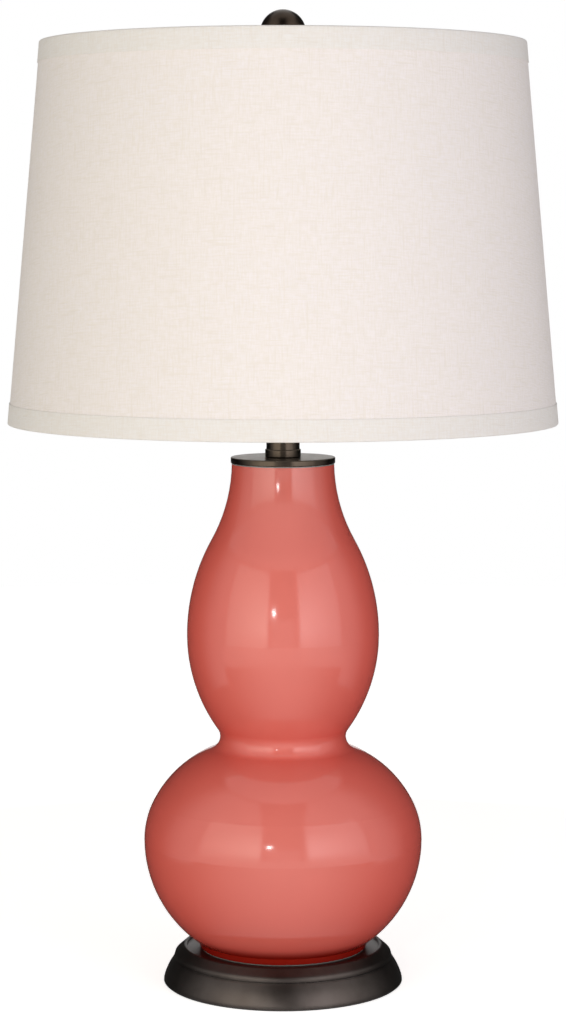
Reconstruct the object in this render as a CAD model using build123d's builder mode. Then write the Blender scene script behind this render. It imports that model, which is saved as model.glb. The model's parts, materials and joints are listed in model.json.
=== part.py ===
from build123d import *

import os
from math import asin, atan2, cos, degrees, radians, sin, sqrt

# A table lamp: a glass vase in the form of a double gourd, on a stepped round metal foot,
# under a hardback linen shade that hangs from a harp and is held by a ball finial.
# Origin: centre of the felt under the foot, on the table. +Z is up, -Y is the front.

os.makedirs("parts", exist_ok=True)

# ---------------------------------------------------------------- driving sizes, in mm

# fits
running_gap = 0.08  # radial play of a pin that turns or slides in its bore
thread_gap = 0.10  # radial play of the bulb's base in its screw shell
seat_gap = 0.10  # play between two flat faces that turn on each other
loose_gap = 0.30  # radial play where one fixed piece slips over or into another

# foot
foot_radius = 89.8
foot_edge_round = 0.4
foot_roll_radius = 10.0  # rolled lower edge of the flange
foot_roll_angle = 17.0  # degrees of that roll
flange_arc_radius = 43.0  # long convex slope of the flange
flange_height = 17.6  # top of the flange above the felt
groove_depth = 1.2  # groove between the flange and the step above it
groove_height = 1.0
step_inset = 7.8  # from the flange's widest circle to the step's foot
step_lean = 0.9  # how far the step's side leans in over its height
step_height = 3.0
step_round = 1.4
crest_inset = 15.4  # from the flange's widest circle to the crest's outer edge
crest_height = 28.2  # height of the crest above the table
crest_width = 1.8
crest_round = 0.9
ledge_drop = 1.8  # depth of the ledge below the crest
shell_wall = 1.2
shell_lip = 7.0  # width of the turned-in lip that lies on the felt

# felt, weight, nut and cord outlet
felt_thickness = 0.8
felt_inset = 1.4
weight_room = 7.6  # between the weight and the shell's narrowest wall
weight_lift = 1.2  # gap between the felt and the weight
weight_rim_height = 15.0
weight_chamfer = 1.5
weight_boss_radius = 40.0  # middle of the weight, which carries the ledge
washer_radius = 16.0
washer_thickness = 1.6
nut_across_flats = 19.0
nut_height = 5.0
nut_pocket_room = 2.0  # radial room round the washer in the weight
pipe_foot_spare = 1.6  # pipe below the nut
pipe_foot_lift = 0.3  # end of the pipe above the weight's underside
outlet_radius = 3.3  # bore that a lamp cord passes through
outlet_wall = 1.3
outlet_flange = 1.6  # how far the bushing's flange stands out all round
outlet_proud = 0.5  # end of the bushing beyond the foot's widest circle
outlet_length = 11.3  # whole length of the bushing
outlet_round = 0.4
outlet_height = 9.2
outlet_slot_room = 1.0  # room round the cord's path in the weight

# glass vase
glass_wall = 4.0
foot_gasket_thickness = 0.6
foot_gasket_inset = 0.7
foot_gasket_width = 13.0
vase_foot_radius = 62.2
vase_foot_round = 0.8
vase_crease_round = 0.8
vase_floor_hole = 7.0
belly_radius = 104.07  # lower bulb at its widest
belly_rise = 81.64  # height of that circle above the vase's foot
belly_under_arc = 93.63  # radii of the arcs of the lower bulb's outline
belly_under_angle = 54.9
belly_over_arc = 61.77
belly_over_angle = 28.27
belly_shoulder_arc = 87.28
belly_shoulder_end = 84.0  # beyond the waist, where the upper bulb takes over
waist_fillet = 10.0
bulge_radius = 71.65  # upper bulb at its widest
bulge_rise = 236.07  # height of that circle above the vase's foot
bulge_under_arc = 122.13
bulge_under_angle = 50.0  # beyond the waist, where the lower bulb takes over
bulge_over_arc = 146.97
bulge_over_angle = 28.99
throat_arc = 121.05  # hollow arc of the throat
mouth_angle = 1.1  # the throat is this far from upright at the mouth
mouth_wall = 3.2  # ground wall at the mouth
mouth_depth = 9.0  # depth to which the mouth is ground out

# cap, collar and neck
cap_gasket_thickness = 0.8
cap_overhang = 0.69
cap_thickness = 4.5
cap_round = 0.7
spigot_depth = 7.0
spigot_wall = 1.6
collar_radius = 13.25
collar_height = 5.9
collar_round = 0.7
neck_radius = 12.35
neck_wall = 1.2
neck_top_wall = 1.5
neck_height = 29.3

# lamp pipe
pipe_radius = 4.9
pipe_bore_radius = 3.6
pipe_in_socket = 6.6  # pipe above the socket's lower face
lock_washer_radius = 8.4
lock_washer_thickness = 1.5
lock_washer_slit = 1.2

# harp
harp_wire = 3.8  # diameter
harp_foot_spread = 32.0  # leg's distance from the axis at the saddle
harp_spread = 60.0  # leg's distance from the axis at its widest
saddle_thickness = 1.6
saddle_width = 11.0
saddle_eye_radius = 9.5
saddle_rise = 9.0  # top of the saddle's ends above the neck
saddle_bend = 3.0
saddle_end_round = 3.0
peg_boss_radius = 3.3
peg_boss_height = 4.0
peg_height = 5.0
leg_straight = 26.0
bow_rise = 79.0  # height of the S-shaped part of a leg
crown_rise = 121.0  # height from the widest place to the crown
crown_bend = 28.0
crown_flat = 9.0  # half of the straight piece at the crown
seat_radius = 8.0
seat_height = 6.5  # seat above the wire's centre line
seat_depth = 3.2  # seat below the wire's centre line
seat_round = 0.6
stud_radius = 3.15
stud_length = 16.0
stud_chamfer = 0.6
ferrule_wall = 1.4
ferrule_length = 13.0
ferrule_round = 0.6

# socket and switch
socket_radius = 16.6
socket_wall = 0.7
socket_hub_radius = 7.6
socket_hub_length = 4.6
socket_cap_skirt = 5.0
socket_slip = 0.1  # radial play of the shell in the cap, and of the liner in the shell
socket_length = 45.0
socket_bead = 0.8
socket_bead_rise = 24.0
set_screw_radius = 1.3
set_screw_proud = 0.8
liner_wall = 0.8
liner_short = 0.5
insulator_height = 22.0
wire_chamber_radius = 6.0
wire_chamber_depth = 8.0
terminal_flat = 3.0  # depth of the pocket under a terminal screw
terminal_pocket = 4.0  # half width and half height of that pocket
terminal_head_radius = 2.6
terminal_head = 1.6
terminal_shank_radius = 1.4
terminal_shank = 5.0
terminal_drop = 6.0  # terminal screws below the insulator's top
screw_shell_wall = 0.4
screw_shell_height = 25.0
contact_radius = 4.5
contact_thickness = 0.8
switch_rise = 14.0  # switch shaft above the insulator's lower face
switch_shaft_radius = 2.0
switch_shaft_seat = 7.0  # length of the shaft inside the insulator
switch_window = 0.9  # room round the shaft where it leaves the shell
switch_reach = 46.0  # end of the knob from the lamp's axis
switch_knob_length = 20.0
switch_knob_radius = 5.2
switch_knob_waist = 3.4
switch_knob_taper = 5.0  # length over which the knob widens
switch_knob_round = 1.2
switch_knob_cover = 2.0  # knob beyond the end of its shaft
switch_knob_flutes = 8
switch_flute_radius = 1.1

# bulb
bulb_radius = 30.0
bulb_length = 108.0
bulb_shoulder_angle = 40.0
bulb_neck_radius = 13.4
bulb_neck_tuck = 6.0  # length of the glass neck held inside the metal base
bulb_glass_wall = 0.8
bulb_base_radius = 13.0
bulb_base_wall = 0.5
bulb_base_length = 25.5  # from the tip of the contact to the base's upper edge
bulb_base_chamfer = 1.6
bulb_insulator_height = 3.4
bulb_insulator_tip = 5.4  # radius of the insulator's small end
bulb_contact_radius = 4.2
bulb_contact_height = 1.2

# shade
shade_top_radius = 177.8
shade_bottom_radius = 203.2
shade_height = 278.2
shade_drop = 20.0  # the hub lies this far below the top rim
fabric_thickness = 0.6
liner_thickness = 1.2
trim_thickness = 0.6
trim_height = 15.4
hem_overlap = 0.6  # the trim runs this far past the ring's wire on the inside
ring_wire = 2.6
ring_gap = 0.05
spider_wire = 2.4
spider_arms = 3
spider_rise_run = 24.0  # distance from the ring over which an arm bends up to it
spider_bend = 14.0
spider_notch = 0.3  # room round an arm where it passes the trim's hem
hub_radius = 11.0
hub_thickness = 2.0
hub_weld = 1.5  # length of an arm that lies in the hub

# finial
finial_ball_radius = 16.9
finial_neck_radius = 6.5
finial_neck_height = 11.3
finial_foot_radius = 9.0
finial_foot_height = 2.4
finial_foot_round = 0.7
finial_cove = 2.0  # radius of the hollow between foot and neck
finial_bore_spare = 1.5  # bore beyond the end of the stud

# ---------------------------------------------------------------- radii that follow from fits

pipe_hole_radius = pipe_radius + loose_gap
step_radius = foot_radius - step_inset
groove_radius = step_radius - groove_depth
crest_radius = foot_radius - crest_inset
ledge_radius = crest_radius - crest_width
weight_radius = groove_radius - shell_wall - weight_room
nut_pocket_radius = washer_radius + nut_pocket_room
outlet_sleeve_radius = outlet_radius + outlet_wall
socket_shell_radius = socket_radius - socket_wall - socket_slip
liner_radius = socket_shell_radius - socket_wall - socket_slip
insulator_radius = liner_radius - liner_wall - loose_gap
screw_shell_bore = bulb_base_radius + thread_gap
stud_bore_radius = stud_radius + running_gap
panel_thickness = trim_thickness + fabric_thickness + liner_thickness

# ---------------------------------------------------------------- heights, from the table up

shell_bottom = felt_thickness
flange_top = shell_bottom + flange_height
step_bottom = flange_top + groove_height
step_top = step_bottom + step_height
ledge_z = crest_height - ledge_drop
ledge_underside = ledge_z - shell_wall
weight_bottom = felt_thickness + weight_lift
weight_rim_top = weight_bottom + weight_rim_height
pipe_bottom = weight_bottom + pipe_foot_lift
nut_bottom = pipe_bottom + pipe_foot_spare
washer_bottom = nut_bottom + nut_height
washer_top = washer_bottom + washer_thickness
outlet_slot_top = outlet_height + outlet_radius + outlet_slot_room
vase_foot_z = ledge_z + foot_gasket_thickness
belly_z = vase_foot_z + belly_rise
bulge_z = vase_foot_z + bulge_rise

# Above the upper bulb's widest circle the outline is a convex arc and then the hollow throat.
throat_turn = cos(radians(mouth_angle)) - cos(radians(bulge_over_angle))
throat_climb = sin(radians(bulge_over_angle)) - sin(radians(mouth_angle))
bulge_shrink = bulge_over_arc * (1 - cos(radians(bulge_over_angle)))
mouth_radius = bulge_radius - bulge_shrink - throat_arc * throat_turn
bulge_climb = bulge_over_arc * sin(radians(bulge_over_angle))
mouth_z = bulge_z + bulge_climb + throat_arc * throat_climb
mouth_bore_radius = mouth_radius - mouth_wall
spigot_radius = mouth_bore_radius - loose_gap

cap_bottom = mouth_z + cap_gasket_thickness
cap_top = cap_bottom + cap_thickness
collar_top = cap_top + collar_height
neck_top = collar_top + neck_height
saddle_top = neck_top + saddle_thickness
socket_bottom = saddle_top + lock_washer_thickness
pipe_top = socket_bottom + pipe_in_socket
set_screw_z = socket_bottom + socket_hub_length / 2
socket_bowl_radius = socket_radius - socket_hub_radius
shell_foot = socket_bottom + socket_hub_length + socket_bowl_radius
socket_cap_top = shell_foot + socket_cap_skirt
shell_top = shell_foot + socket_length

# The insulator's lower edge rests on the inside of the cap's bowl.
bowl_inside = socket_bowl_radius - socket_wall
insulator_sink = sqrt(bowl_inside**2 - (insulator_radius - socket_hub_radius) ** 2)
insulator_bottom = shell_foot - insulator_sink
insulator_top = insulator_bottom + insulator_height
terminal_z = insulator_top - terminal_drop
switch_z = insulator_bottom + switch_rise
bulb_bottom = insulator_top + contact_thickness + seat_gap
bulb_top = bulb_bottom + bulb_length
bulb_insulator_bottom = bulb_bottom + bulb_contact_height
bulb_base_bottom = bulb_insulator_bottom + bulb_insulator_height
bulb_base_top = bulb_bottom + bulb_base_length

peg_bottom = neck_top + saddle_rise
leg_bottom = peg_bottom + peg_height
leg_top = leg_bottom + leg_straight
crown_z = leg_top + bow_rise + crown_rise
seat_top = crown_z + seat_height
hub_bottom = seat_top + seat_gap
hub_top = hub_bottom + hub_thickness
shade_top = hub_top + shade_drop
shade_bottom = shade_top - shade_height
top_ring_z = shade_top - trim_thickness - ring_wire / 2
bottom_ring_z = shade_bottom + trim_thickness + ring_wire / 2
finial_bottom = hub_top + seat_gap
stud_top = seat_top + stud_length
ball_drop = sqrt(finial_ball_radius**2 - finial_neck_radius**2)
ball_z = finial_bottom + finial_neck_height + ball_drop


def foot_outline():
    """Outer outline of the foot, from the roll at its edge up to the ledge and back to the axis."""
    roll = JernArc(
        (foot_radius, shell_bottom + foot_edge_round), (0, 1), foot_roll_radius, foot_roll_angle
    )
    climb = (flange_top - (roll @ 1).Y) / flange_arc_radius
    flange_end_angle = degrees(asin(sin(radians(foot_roll_angle)) + climb))
    slope = JernArc(roll @ 1, roll % 1, flange_arc_radius, flange_end_angle - foot_roll_angle)
    Polyline(
        slope @ 1,
        (groove_radius, flange_top),
        (groove_radius, step_bottom),
        (step_radius, step_bottom),
        (step_radius - step_lean, step_top),
        (crest_radius, crest_height),
        (ledge_radius, crest_height),
        (ledge_radius, ledge_z),
        (0, ledge_z),
        (0, shell_bottom),
        (foot_radius - foot_edge_round, shell_bottom),
        roll @ 0,
    )


def shade_radius(z):
    """Radius of the shade's outer face, which tapers evenly from the lower rim to the upper."""
    taper = (shade_bottom_radius - shade_top_radius) / shade_height
    return shade_top_radius + (shade_top - z) * taper


def ring_radius(z):
    """Radius of a wire ring that lies against the inside of the panel at this height."""
    return shade_radius(z) - panel_thickness - ring_gap - ring_wire / 2


def panel_outline(inset, thickness):
    """Section of a layer of the shade, its outer face set in from the trims' face."""
    low = shade_bottom + trim_thickness
    high = shade_top - trim_thickness
    Polyline(
        (shade_radius(low) - inset, low),
        (shade_radius(high) - inset, high),
        (shade_radius(high) - inset - thickness, high),
        (shade_radius(low) - inset - thickness, low),
        close=True,
    )


def trim_outline(rim, side, ring_z):
    """Section of a band folded over a rim and round its wire; side is 1 at the top, -1 below."""
    edge = rim - side * trim_height
    under = rim - side * trim_thickness
    hem = ring_radius(ring_z) - ring_wire / 2 - ring_gap
    hem_end = under - side * (ring_wire + hem_overlap)
    Polyline(
        (shade_radius(edge), edge),
        (shade_radius(rim), rim),
        (hem - trim_thickness, rim),
        (hem - trim_thickness, hem_end),
        (hem, hem_end),
        (hem, under),
        (shade_radius(under) - trim_thickness, under),
        (shade_radius(edge) - trim_thickness, edge),
        close=True,
    )


def ferrule_ring(side):
    """Ring that a ferrule is extruded from; side is 1 on the right, -1 on the left."""
    with Locations((side * harp_foot_spread, 0)):
        Circle(harp_wire / 2 + running_gap + ferrule_wall)
        Circle(harp_wire / 2 + running_gap, mode=Mode.SUBTRACT)


# ---------------------------------------------------------------- foot

with BuildPart() as felt_pad:
    with BuildSketch():
        Circle(foot_radius - felt_inset)
    extrude(amount=felt_thickness)

# The spun shell: lip, rolled flange, groove, leaning step, crest, and a ledge for the vase.
with BuildPart() as base_shell:
    with BuildSketch(Plane.XZ):
        with BuildLine():
            foot_outline()
        make_face()
        fillet(vertices().sort_by_distance((step_radius - step_lean, step_top))[0], step_round)
        fillet(vertices().sort_by_distance((crest_radius, crest_height))[0], crest_round)
        mirror(about=Plane.YZ)
        offset(amount=-shell_wall, kind=Kind.INTERSECTION, mode=Mode.SUBTRACT)
        # the shell is open inside its lip, and the lamp pipe passes through the ledge
        with Locations((0, shell_bottom)):
            Rectangle(2 * (foot_radius - shell_lip), 3 * shell_wall, mode=Mode.SUBTRACT)
        with Locations((0, ledge_z)):
            Rectangle(2 * pipe_hole_radius, 3 * shell_wall, mode=Mode.SUBTRACT)
        split(bisect_by=Plane.YZ)
    revolve(axis=Axis.Z)
    # hole at the back for the cord's bushing
    with BuildSketch(Plane.XZ):
        with Locations((0, outlet_height)):
            Circle(outlet_sleeve_radius)
    extrude(amount=-foot_radius, mode=Mode.SUBTRACT)

# Moulded bushing: a flat face behind, the flange's inner side shaped to the flange's slope.
with BuildPart() as cord_bushing:
    with BuildSketch(Plane.XZ.offset(-foot_radius - outlet_proud)):
        with Locations((0, outlet_height)):
            Circle(outlet_sleeve_radius + outlet_flange)
    extrude(amount=outlet_length)
    fillet(cord_bushing.edges().group_by(Axis.Y)[-1], outlet_round)
    with BuildSketch(Plane.XZ):
        with BuildLine():
            foot_outline()
        make_face()
    revolve(axis=Axis.Z, mode=Mode.SUBTRACT)
    with BuildSketch(Plane.XZ.offset(-foot_radius)):
        with Locations((0, outlet_height)):
            Circle(outlet_sleeve_radius)
    extrude(amount=outlet_length - outlet_proud)
    with BuildSketch(Plane.XZ.offset(-foot_radius - outlet_proud)):
        with Locations((0, outlet_height)):
            Circle(outlet_radius)
    extrude(amount=outlet_length, mode=Mode.SUBTRACT)

# Cast weight: its middle carries the ledge, and a slot lets a cord reach the pipe.
with BuildPart() as base_weight:
    with BuildSketch(Plane.XY.offset(weight_bottom)):
        Circle(weight_radius)
    extrude(amount=weight_rim_height)
    chamfer(base_weight.edges().group_by(Axis.Z)[-1], weight_chamfer)
    with BuildSketch(Plane.XY.offset(weight_rim_top)):
        Circle(weight_boss_radius)
    extrude(amount=ledge_underside - weight_rim_top)
    with BuildSketch(Plane.XY.offset(weight_bottom)):
        Circle(nut_pocket_radius)
    extrude(amount=washer_top - weight_bottom, mode=Mode.SUBTRACT)
    with BuildSketch(Plane.XY.offset(weight_bottom)):
        with Locations((0, weight_radius / 2)):
            Rectangle(2 * (outlet_radius + outlet_slot_room), weight_radius)
    extrude(amount=outlet_slot_top - weight_bottom, mode=Mode.SUBTRACT)
    with BuildSketch(Plane.XY.offset(weight_bottom)):
        Circle(pipe_hole_radius)
    extrude(amount=ledge_underside - weight_bottom, mode=Mode.SUBTRACT)

with BuildPart() as foot_washer:
    with BuildSketch(Plane.XY.offset(washer_bottom)):
        Circle(washer_radius)
        Circle(pipe_hole_radius, mode=Mode.SUBTRACT)
    extrude(amount=washer_thickness)

with BuildPart() as foot_nut:
    with BuildSketch(Plane.XY.offset(nut_bottom)):
        RegularPolygon(nut_across_flats / 2, 6, major_radius=False)
        Circle(pipe_radius, mode=Mode.SUBTRACT)
    extrude(amount=nut_height)

with BuildPart() as foot_gasket:
    with BuildSketch(Plane.XY.offset(ledge_z)):
        Circle(vase_foot_radius - foot_gasket_inset)
        Circle(vase_foot_radius - foot_gasket_width, mode=Mode.SUBTRACT)
    extrude(amount=foot_gasket_thickness)

# ---------------------------------------------------------------- vase

# Two bulbs that meet at the waist, a hollow throat above, a low foot ring below; all one wall.
with BuildPart() as glass_body:
    with BuildSketch(Plane.XZ):
        with BuildLine():
            under = JernArc(
                (belly_radius, belly_z), (0, -1), belly_under_arc, -belly_under_angle
            )
            over = JernArc((belly_radius, belly_z), (0, 1), belly_over_arc, belly_over_angle)
            shoulder = JernArc(
                over @ 1, over % 1, belly_shoulder_arc, belly_shoulder_end - belly_over_angle
            )
            Polyline(
                shoulder @ 1,
                (0, (shoulder @ 1).Y),
                (0, vase_foot_z),
                (vase_foot_radius, vase_foot_z),
                under @ 1,
            )
            vase_crease = under @ 1
        make_face()
        with BuildLine():
            below = JernArc(
                (bulge_radius, bulge_z), (0, -1), bulge_under_arc, -bulge_under_angle
            )
            above = JernArc((bulge_radius, bulge_z), (0, 1), bulge_over_arc, bulge_over_angle)
            throat = JernArc(
                above @ 1, above % 1, throat_arc, mouth_angle - bulge_over_angle
            )
            Polyline(throat @ 1, (0, mouth_z), (0, (below @ 1).Y), below @ 1)
        make_face()
        mirror(about=Plane.YZ)
        offset(amount=-glass_wall, kind=Kind.INTERSECTION, mode=Mode.SUBTRACT)
        # ground mouth above, hole for the lamp pipe below
        with Locations((0, mouth_z)):
            Rectangle(2 * mouth_bore_radius, 2 * mouth_depth, mode=Mode.SUBTRACT)
        with Locations((0, vase_foot_z)):
            Rectangle(2 * vase_floor_hole, 3 * glass_wall, mode=Mode.SUBTRACT)
        split(bisect_by=Plane.YZ)
        # the waist is one bend of even wall: its outer and inner rounds share a centre
        waist_guess = (mouth_radius, (belly_z + bulge_z) / 2)
        fillet(vertices().sort_by_distance(waist_guess)[0], waist_fillet)
        waist_inner_guess = (mouth_radius - glass_wall, (belly_z + bulge_z) / 2)
        fillet(vertices().sort_by_distance(waist_inner_guess)[0], waist_fillet + glass_wall)
        fillet(vertices().sort_by_distance((vase_foot_radius, vase_foot_z))[0], vase_foot_round)
        fillet(vertices().sort_by_distance(vase_crease)[0], vase_crease_round)
    revolve(axis=Axis.Z)

with BuildPart() as cap_gasket:
    with BuildSketch(Plane.XY.offset(mouth_z)):
        Circle(mouth_radius)
        Circle(mouth_bore_radius, mode=Mode.SUBTRACT)
    extrude(amount=cap_gasket_thickness)

# Flat cap with a spigot that centres it in the mouth.
with BuildPart() as vase_cap:
    with BuildSketch(Plane.XY.offset(cap_bottom)):
        Circle(mouth_radius + cap_overhang)
    extrude(amount=cap_thickness)
    fillet(vase_cap.edges().filter_by(GeomType.CIRCLE), cap_round)
    with BuildSketch(Plane.XY.offset(cap_bottom)):
        Circle(spigot_radius)
        Circle(spigot_radius - spigot_wall, mode=Mode.SUBTRACT)
    extrude(amount=-spigot_depth)
    with BuildSketch(Plane.XY.offset(cap_bottom)):
        Circle(pipe_hole_radius)
    extrude(amount=cap_thickness, mode=Mode.SUBTRACT)

with BuildPart() as neck_collar:
    with BuildSketch(Plane.XY.offset(cap_top)):
        Circle(collar_radius)
    extrude(amount=collar_height)
    fillet(neck_collar.edges().filter_by(GeomType.CIRCLE), collar_round)
    with BuildSketch(Plane.XY.offset(cap_top)):
        Circle(pipe_hole_radius)
    extrude(amount=collar_height, mode=Mode.SUBTRACT)

# Tube closed at its upper end, where the saddle lies on it.
with BuildPart() as neck_tube:
    with BuildSketch(Plane.XY.offset(collar_top)):
        Circle(neck_radius)
        Circle(pipe_hole_radius, mode=Mode.SUBTRACT)
    extrude(amount=neck_height)
    with BuildSketch(Plane.XY.offset(collar_top)):
        Circle(neck_radius - neck_wall)
    extrude(amount=neck_height - neck_top_wall, mode=Mode.SUBTRACT)

with BuildPart() as lamp_pipe:
    with BuildSketch(Plane.XY.offset(pipe_bottom)):
        Circle(pipe_radius)
        Circle(pipe_bore_radius, mode=Mode.SUBTRACT)
    extrude(amount=pipe_top - pipe_bottom)

with BuildPart() as lock_washer:
    with BuildSketch(Plane.XY.offset(saddle_top)):
        Circle(lock_washer_radius)
        Circle(pipe_hole_radius, mode=Mode.SUBTRACT)
        with Locations((0, lock_washer_radius)):
            Rectangle(lock_washer_slit, 2 * lock_washer_radius, mode=Mode.SUBTRACT)
    extrude(amount=lock_washer_thickness)

# ---------------------------------------------------------------- harp

# Bent strip with an eye for the pipe; each upturned end carries a peg for a leg of the harp.
with BuildPart() as harp_saddle:
    strip_outside = harp_foot_spread + saddle_thickness / 2
    strip_inside = harp_foot_spread - saddle_thickness / 2
    with BuildSketch(Plane.XZ):
        with BuildLine():
            Polyline(
                (0, neck_top),
                (strip_outside, neck_top),
                (strip_outside, peg_bottom),
                (strip_inside, peg_bottom),
                (strip_inside, saddle_top),
                (0, saddle_top),
                close=True,
            )
        make_face()
        fillet(
            vertices().sort_by_distance((strip_outside, neck_top))[0],
            saddle_bend + saddle_thickness,
        )
        fillet(vertices().sort_by_distance((strip_inside, saddle_top))[0], saddle_bend)
        mirror(about=Plane.YZ)
    extrude(amount=saddle_width / 2, both=True)
    upper_corners = harp_saddle.edges().filter_by(Axis.X).group_by(Axis.Z)[-1]
    fillet(upper_corners, saddle_end_round)
    with BuildSketch(Plane.XY.offset(neck_top)):
        Circle(saddle_eye_radius)
    extrude(amount=saddle_thickness)
    with BuildSketch(Plane.XY.offset(neck_top)):
        Circle(pipe_hole_radius)
    extrude(amount=saddle_thickness, mode=Mode.SUBTRACT)
    with BuildSketch(Plane.XY.offset(peg_bottom)):
        with Locations((harp_foot_spread, 0), (-harp_foot_spread, 0)):
            Circle(peg_boss_radius)
    extrude(amount=-peg_boss_height)
    with BuildSketch(Plane.XY.offset(peg_bottom)):
        with Locations((harp_foot_spread, 0), (-harp_foot_spread, 0)):
            Circle(harp_wire / 2)
    extrude(amount=peg_height)

# Up the right leg the wire bends out and back in two equal arcs, then leans in to the crown.
bow_run = harp_spread - harp_foot_spread
bow_angle = 2 * degrees(atan2(bow_run, bow_rise))
bow_arc = bow_rise / (2 * sin(radians(bow_angle)))
side_run = harp_spread - crown_flat - crown_bend
side_rise = crown_rise - crown_bend
side_angle = 2 * degrees(atan2(side_run, side_rise))
side_arc = crown_bend + side_rise / sin(radians(side_angle))
leg_turns = [
    (bow_arc, -bow_angle),
    (bow_arc, bow_angle),
    (side_arc, side_angle),
    (crown_bend, 90 - side_angle),
]

with BuildPart() as harp_bow:
    with BuildLine(Plane.XZ) as bow_path:
        run = Line((harp_foot_spread, leg_bottom), (harp_foot_spread, leg_top))
        for radius, angle in leg_turns:
            run = JernArc(run @ 1, run % 1, radius, angle)
        run = Line(run @ 1, Vector(-crown_flat, 0, crown_z))
        for radius, angle in reversed(leg_turns):
            run = JernArc(run @ 1, run % 1, radius, angle)
        Line(run @ 1, Vector(-harp_foot_spread, 0, leg_bottom))
    with BuildSketch(Plane.XY.offset(leg_bottom)):
        with Locations((harp_foot_spread, 0)):
            Circle(harp_wire / 2)
    sweep()

# Seat brazed round the crown of the wire, with the stud that the shade and finial go on.
with BuildPart() as harp_stud:
    with BuildSketch(Plane.XY.offset(crown_z - seat_depth)):
        Circle(seat_radius)
    extrude(amount=seat_depth + seat_height)
    fillet(harp_stud.edges().group_by(Axis.Z)[0], seat_round)
    with BuildSketch(Plane.YZ):
        with Locations((0, crown_z)):
            Circle(harp_wire / 2)
    extrude(amount=crown_flat, both=True, mode=Mode.SUBTRACT)
    with BuildSketch(Plane.XY.offset(seat_top)):
        Circle(stud_radius)
    extrude(amount=stud_length)
    chamfer(harp_stud.edges().group_by(Axis.Z)[-1], stud_chamfer)

with BuildPart() as ferrule_left:
    with BuildSketch(Plane.XY.offset(peg_bottom + seat_gap)):
        ferrule_ring(-1)
    extrude(amount=ferrule_length)
    outer_rims = ferrule_left.edges().filter_by(GeomType.CIRCLE).group_by(SortBy.RADIUS)[-1]
    fillet(outer_rims, ferrule_round)

with BuildPart() as ferrule_right:
    with BuildSketch(Plane.XY.offset(peg_bottom + seat_gap)):
        ferrule_ring(1)
    extrude(amount=ferrule_length)
    outer_rims = ferrule_right.edges().filter_by(GeomType.CIRCLE).group_by(SortBy.RADIUS)[-1]
    fillet(outer_rims, ferrule_round)

# ---------------------------------------------------------------- socket and switch

# Bell-shaped cap: a hub on the pipe, a bowl, and a skirt that holds the shell.
with BuildPart() as socket_cap:
    with BuildSketch(Plane.XZ):
        with BuildLine():
            bowl_centre = (socket_hub_radius, shell_foot)
            bowl_out = CenterArc(bowl_centre, socket_bowl_radius, -90, 90)
            bowl_in = CenterArc(bowl_centre, bowl_inside, -90, 90)
            Polyline(
                bowl_out @ 1,
                (socket_radius, socket_cap_top),
                (socket_radius - socket_wall, socket_cap_top),
                bowl_in @ 1,
            )
            Polyline(
                bowl_in @ 0,
                (pipe_radius, shell_foot - bowl_inside),
                (pipe_radius, socket_bottom),
                (socket_hub_radius, socket_bottom),
                bowl_out @ 0,
            )
        make_face()
    revolve(axis=Axis.Z)
    with BuildSketch(Plane.XZ):
        with Locations((0, set_screw_z)):
            Circle(set_screw_radius)
    extrude(amount=socket_hub_radius, mode=Mode.SUBTRACT)

with BuildPart() as set_screw:
    with BuildSketch(Plane.XZ.offset(pipe_radius)):
        with Locations((0, set_screw_z)):
            Circle(set_screw_radius)
    extrude(amount=socket_hub_radius + set_screw_proud - pipe_radius)

with BuildPart() as socket_shell:
    with BuildSketch(Plane.XY.offset(shell_foot)):
        Circle(socket_shell_radius)
    extrude(amount=socket_length)
    with BuildSketch(Plane.XZ):
        with Locations((socket_shell_radius, shell_foot + socket_bead_rise)):
            Circle(socket_bead)
    revolve(axis=Axis.Z)
    with BuildSketch(Plane.XY.offset(shell_foot)):
        Circle(socket_shell_radius - socket_wall)
    extrude(amount=socket_length, mode=Mode.SUBTRACT)
    with BuildSketch(Plane.XZ):
        with Locations((0, switch_z)):
            Circle(switch_shaft_radius + switch_window)
    extrude(amount=socket_radius, mode=Mode.SUBTRACT)

with BuildPart() as socket_liner:
    with BuildSketch(Plane.XY.offset(shell_foot)):
        Circle(liner_radius)
        Circle(liner_radius - liner_wall, mode=Mode.SUBTRACT)
    extrude(amount=socket_length - liner_short)
    with BuildSketch(Plane.XZ):
        with Locations((0, switch_z)):
            Circle(switch_shaft_radius + switch_window)
    extrude(amount=socket_radius, mode=Mode.SUBTRACT)

# Moulded body with a wire chamber below, a pocket for each terminal, and the switch's bore.
with BuildPart() as socket_insulator:
    with BuildSketch(Plane.XY.offset(insulator_bottom)):
        Circle(insulator_radius)
    extrude(amount=insulator_height)
    with BuildSketch(Plane.XY.offset(insulator_bottom)):
        Circle(wire_chamber_radius)
    extrude(amount=wire_chamber_depth, mode=Mode.SUBTRACT)
    for side in (1, -1):
        with BuildSketch(Plane.YZ.offset(side * (insulator_radius - terminal_flat))):
            with Locations((0, terminal_z)):
                Rectangle(2 * terminal_pocket, 2 * terminal_pocket)
        extrude(amount=side * terminal_flat, mode=Mode.SUBTRACT)
        with BuildSketch(Plane.YZ.offset(side * (insulator_radius - terminal_flat))):
            with Locations((0, terminal_z)):
                Circle(terminal_shank_radius)
        extrude(amount=-side * terminal_shank, mode=Mode.SUBTRACT)
    with BuildSketch(Plane.XZ.offset(insulator_radius - switch_shaft_seat - seat_gap)):
        with Locations((0, switch_z)):
            Circle(switch_shaft_radius + running_gap)
    extrude(amount=switch_shaft_seat + seat_gap, mode=Mode.SUBTRACT)

with BuildPart() as screw_shell:
    with BuildSketch(Plane.XY.offset(insulator_top)):
        Circle(screw_shell_bore + screw_shell_wall)
        Circle(screw_shell_bore, mode=Mode.SUBTRACT)
    extrude(amount=screw_shell_height)

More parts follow.
